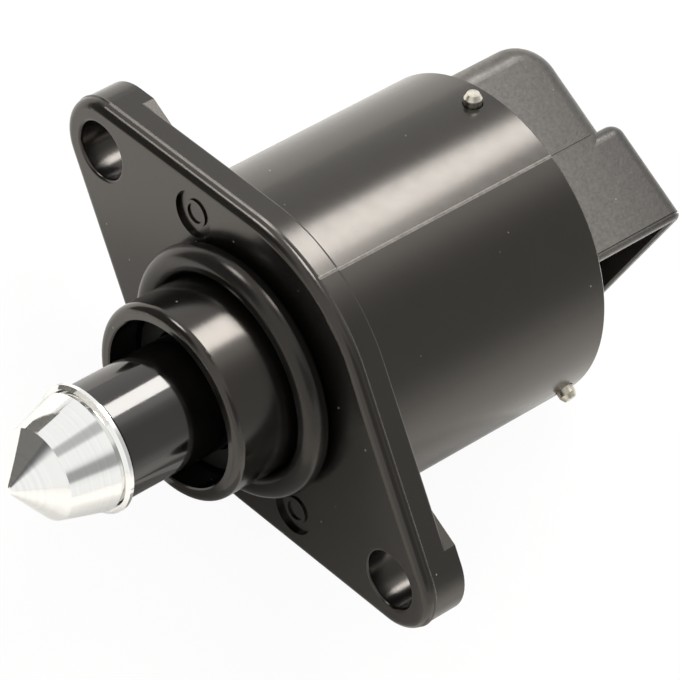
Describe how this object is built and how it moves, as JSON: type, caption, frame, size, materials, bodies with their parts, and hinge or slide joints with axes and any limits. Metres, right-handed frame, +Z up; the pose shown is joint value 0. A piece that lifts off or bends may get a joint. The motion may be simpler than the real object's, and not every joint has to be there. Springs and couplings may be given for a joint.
{
  "type": "idle air control valve",
  "caption": "Flanged stepper-motor valve: a cone-tipped pintle slides in and out of a spigot to meter idle air, with a sideways plug socket at the rear.",
  "frame": {"origin": "centre of the flange's front face, on the valve's axis", "axes": "+Y along the valve's axis from the pintle to the plug socket, +X along the flange's long axis, the way the socket opens, +Z up"},
  "size_m": [0.0632, 0.0776, 0.0372],
  "materials": {
    "black_gloss": "semi-gloss moulded plastic",
    "seal_rubber": "smooth rubber",
    "black_matte": "matte plastic",
    "grey_black_matte": "fine spark-eroded matte",
    "pin_steel": "bright steel",
    "tinned_brass": "tinned",
    "sheet_steel": "zinc plated",
    "bronze": "sintered",
    "spool_plastic": "natural moulded plastic",
    "copper": "enamelled wire",
    "ferrite": "sintered ferrite",
    "turned_aluminium": "bright turned"
  },
  "bodies": {
    "housing": {"housing": "black_gloss", "o_ring": "seal_rubber", "guide_bush": "black_matte", "rear_cover": "grey_black_matte", "retaining_pin_a": "pin_steel", "retaining_pin_b": "pin_steel", "retaining_pin_c": "pin_steel", "terminal_a": "tinned_brass", "terminal_b": "tinned_brass", "terminal_c": "tinned_brass", "terminal_d": "tinned_brass", "bearing_plate": "sheet_steel", "front_bearing": "bronze", "rear_bearing": "bronze", "thrust_washer_front": "pin_steel", "thrust_washer_rear": "pin_steel", "stator_cup_front": "sheet_steel", "stator_cup_rear": "sheet_steel", "pole_plate_front": "sheet_steel", "pole_plate_rear": "sheet_steel", "bobbin_front": "spool_plastic", "bobbin_rear": "spool_plastic", "coil_front": "copper", "coil_rear": "copper"},
    "rotor": {"rotor_hub": "bronze", "rotor_magnet": "ferrite"},
    "pintle": {"pintle_tip": "turned_aluminium", "pintle_shank": "black_gloss", "lead_screw": "pin_steel"}
  },
  "joints": [
    {"name": "rotor_spin", "type": "hinge", "parent": "housing", "child": "rotor", "pos_m": [0, 0.0178, 0], "axis": [0, 1, 0], "range_deg": [-2880, 540]},
    {"name": "pintle_slide", "type": "slide", "parent": "housing", "child": "pintle", "axis": [0, -1, 0], "range_m": [-0.0081, 0.0016]}
  ],
  "couplings": [
    {"joint": "pintle_slide", "follows": "rotor_spin", "m_per_rad": 0.00015915}
  ]
}
